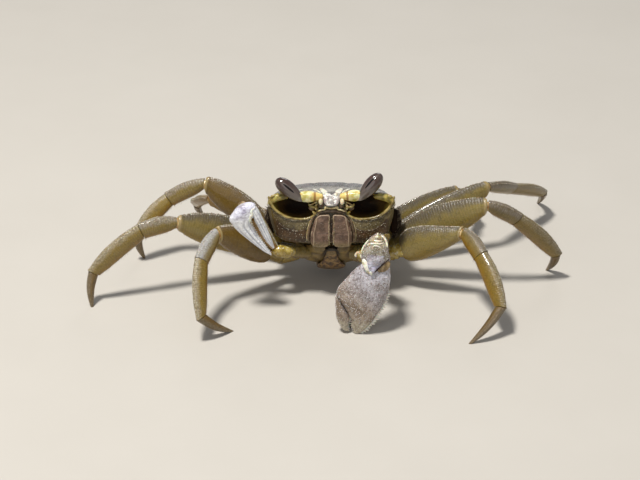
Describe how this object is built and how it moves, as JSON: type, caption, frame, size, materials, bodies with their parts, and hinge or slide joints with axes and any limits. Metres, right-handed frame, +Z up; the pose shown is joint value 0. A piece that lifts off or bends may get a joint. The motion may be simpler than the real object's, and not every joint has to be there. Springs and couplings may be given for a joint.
{
  "type": "ghost crab",
  "caption": "Life-size still model of a ghost crab standing on its walking legs, stalked eyes raised, the small claw folded and the large claw hanging to the floor.",
  "frame": {"origin": "bottom middle of the bounding box, on the floor under the crab", "axes": "+Z up, the crab faces -Y, +X is the crab's left side"},
  "size_m": [0.1306, 0.0834, 0.036],
  "materials": {
    "carapace": "fine granular shell, grey-blue with dark specks and cream marks",
    "face": "fine granular shell, grey-brown",
    "underside": "smooth tan-olive shell",
    "eyestalk": "moist yellow-green skin over shell",
    "cornea": "polished, dark purple-brown",
    "nail": "smooth ribbed horn, grey-brown",
    "large_claw": "granular, pinkish grey with a saw-toothed edge",
    "small_claw": "smooth, lilac-white with lengthwise grooves",
    "leg": "translucent olive-yellow shell, grey granular upper edges"
  },
  "bodies": {
    "root": {"carapace": "carapace", "lower_shell": "face", "leg1_right_base": "leg", "leg1_right_merus": "leg", "leg1_right_carpus": "leg", "leg1_right_propodus": "leg", "leg1_right_dactyl": "nail", "leg2_right_base": "leg", "leg2_right_merus": "leg", "leg2_right_carpus": "leg", "leg2_right_propodus": "leg", "leg2_right_dactyl": "nail", "leg3_right_base": "leg", "leg3_right_merus": "leg", "leg3_right_carpus": "leg", "leg3_right_propodus": "leg", "leg3_right_dactyl": "nail", "leg4_right_base": "leg", "leg4_right_merus": "leg", "leg4_right_carpus": "leg", "leg4_right_propodus": "leg", "leg4_right_dactyl": "nail", "leg1_left_base": "leg", "leg1_left_merus": "leg", "leg1_left_carpus": "leg", "leg1_left_propodus": "leg", "leg1_left_dactyl": "nail", "leg2_left_base": "leg", "leg2_left_merus": "leg", "leg2_left_carpus": "leg", "leg2_left_propodus": "leg", "leg2_left_dactyl": "nail", "leg3_left_base": "leg", "leg3_left_merus": "leg", "leg3_left_carpus": "leg", "leg3_left_propodus": "leg", "leg3_left_dactyl": "nail", "leg4_left_base": "leg", "leg4_left_merus": "leg", "leg4_left_carpus": "leg", "leg4_left_propodus": "leg", "leg4_left_dactyl": "nail", "claw_right_base": "leg", "claw_right_merus": "leg", "claw_right_carpus": "leg", "claw_right_palm": "small_claw", "claw_right_finger": "small_claw", "claw_left_base": "leg", "claw_left_merus": "leg", "claw_left_carpus": "large_claw", "claw_left_palm": "large_claw", "claw_left_finger": "large_claw", "breastplate": "underside", "tail_flap": "underside", "mouth_plate_right": "face", "eyestalk_right": "eyestalk", "eye_right": "cornea", "mouth_plate_left": "face", "eyestalk_left": "eyestalk", "eye_left": "cornea"}
  },
  "joints": []
}
